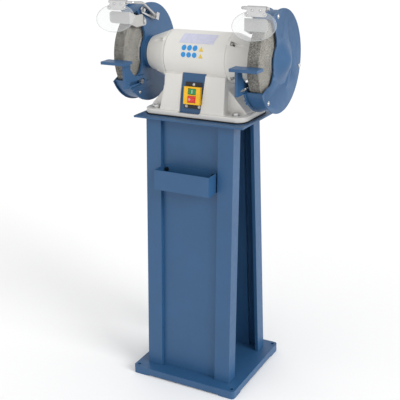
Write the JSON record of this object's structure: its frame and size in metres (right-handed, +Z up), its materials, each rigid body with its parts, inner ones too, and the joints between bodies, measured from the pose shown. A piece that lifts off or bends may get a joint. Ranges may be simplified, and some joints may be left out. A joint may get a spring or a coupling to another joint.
{
  "type": "bench grinder",
  "caption": "Two-wheel bench grinder on a sheet-steel pedestal, with wheel guards, tool rests, spark arrestors, eye shields, a start and stop switch and a tool tray.",
  "frame": {"origin": "centre of the base plate's footprint, on the floor", "axes": "+Z up, +X along the spindle to the operator's right, -Y towards the operator"},
  "size_m": [0.534, 0.32, 1.1098],
  "materials": {
    "blue_paint": "semi-gloss powder coat",
    "off_white_paint": "semi-gloss paint over a casting",
    "pale_paint": "satin pale grey paint on sheet",
    "zinc": "bright zinc plate",
    "steel": "turned bright steel",
    "black_steel": "blackened steel",
    "laminations": "dull stacked steel",
    "abrasive": "open-grained bonded abrasive",
    "rubber": "matte",
    "black_plastic": "fine texture",
    "yellow_plastic": "semi-gloss moulding",
    "green_plastic": "semi-gloss moulding",
    "red_plastic": "semi-gloss moulding",
    "clear_plastic": "clear polycarbonate sheet"
  },
  "bodies": {
    "frame": {"base_plate": "blue_paint", "front_panel": "blue_paint", "rear_panel": "blue_paint", "top_plate": "blue_paint", "tool_tray": "blue_paint", "tray_screw_left": "black_steel", "tray_screw_right": "black_steel", "base_gasket": "rubber", "motor_housing": "off_white_paint", "cable_gland": "black_plastic", "mounting_bolt_front_left": "zinc", "mounting_bolt_front_right": "zinc", "mounting_bolt_rear_left": "zinc", "mounting_bolt_rear_right": "zinc", "switch_panel": "blue_paint", "switch_back_plate": "black_plastic", "switch_frame": "yellow_plastic", "stator_core": "laminations", "left_end_bell": "off_white_paint", "left_bearing": "steel", "left_guard_plate": "blue_paint", "left_guard_band": "blue_paint", "left_guard_cover": "blue_paint", "left_tool_rest_bolt": "zinc", "left_spark_arrestor_screw": "zinc", "left_shield_pivot_bolt": "zinc", "right_end_bell": "off_white_paint", "right_bearing": "steel", "right_guard_plate": "blue_paint", "right_guard_band": "blue_paint", "right_guard_cover": "blue_paint", "right_tool_rest_bolt": "zinc", "right_spark_arrestor_screw": "zinc", "right_shield_pivot_bolt": "zinc"},
    "rotor": {"shaft": "steel", "rotor_core": "laminations", "left_inner_flange": "zinc", "left_grinding_wheel": "abrasive", "left_outer_flange": "zinc", "left_spindle_nut": "zinc", "right_inner_flange": "zinc", "right_grinding_wheel": "abrasive", "right_outer_flange": "zinc", "right_spindle_nut": "zinc"},
    "start_button": {"start_button": "green_plastic"},
    "stop_button": {"stop_button": "red_plastic"},
    "left_tool_rest": {"left_tool_rest": "blue_paint"},
    "left_spark_arrestor": {"left_spark_arrestor": "pale_paint"},
    "left_shield_arm": {"left_shield_link": "zinc", "left_shield_rod": "steel"},
    "left_shield": {"left_shield_bracket": "zinc", "left_eye_shield": "clear_plastic"},
    "right_tool_rest": {"right_tool_rest": "blue_paint"},
    "right_spark_arrestor": {"right_spark_arrestor": "pale_paint"},
    "right_shield_arm": {"right_shield_link": "zinc", "right_shield_rod": "steel"},
    "right_shield": {"right_shield_bracket": "zinc", "right_eye_shield": "clear_plastic"}
  },
  "joints": [
    {"name": "rotor_spin", "type": "hinge", "parent": "frame", "child": "rotor", "pos_m": [0, 0.0167, 0.9545], "axis": [1, 0, 0], "continuous": true},
    {"name": "start_button_press", "type": "slide", "parent": "frame", "child": "start_button", "axis": [0, 0.9882, -0.153], "range_m": [0, 0.003], "stiffness_N_per_m": 600, "springref_m": -0.001},
    {"name": "stop_button_press", "type": "slide", "parent": "frame", "child": "stop_button", "axis": [0, 0.9882, -0.153], "range_m": [0, 0.003], "stiffness_N_per_m": 600, "springref_m": -0.001},
    {"name": "left_tool_rest_slide", "type": "slide", "parent": "frame", "child": "left_tool_rest", "axis": [0, -1, 0], "range_m": [0, 0.018]},
    {"name": "left_spark_arrestor_slide", "type": "slide", "parent": "frame", "child": "left_spark_arrestor", "axis": [0, 0, 1], "range_m": [-0.012, 0.005]},
    {"name": "left_shield_arm_tilt", "type": "hinge", "parent": "frame", "child": "left_shield_arm", "pos_m": [0, -0.0273, 1.0765], "axis": [1, 0, 0], "range_deg": [-25, 2]},
    {"name": "left_shield_tilt", "type": "hinge", "parent": "left_shield_arm", "child": "left_shield", "pos_m": [0, -0.0883, 1.1035], "axis": [1, 0, 0], "range_deg": [-70, 3]},
    {"name": "right_tool_rest_slide", "type": "slide", "parent": "frame", "child": "right_tool_rest", "axis": [0, -1, 0], "range_m": [0, 0.018]},
    {"name": "right_spark_arrestor_slide", "type": "slide", "parent": "frame", "child": "right_spark_arrestor", "axis": [0, 0, 1], "range_m": [-0.012, 0.005]},
    {"name": "right_shield_arm_tilt", "type": "hinge", "parent": "frame", "child": "right_shield_arm", "pos_m": [0, -0.0273, 1.0765], "axis": [1, 0, 0], "range_deg": [-25, 2]},
    {"name": "right_shield_tilt", "type": "hinge", "parent": "right_shield_arm", "child": "right_shield", "pos_m": [0, -0.0883, 1.1035], "axis": [1, 0, 0], "range_deg": [-70, 3]}
  ]
}
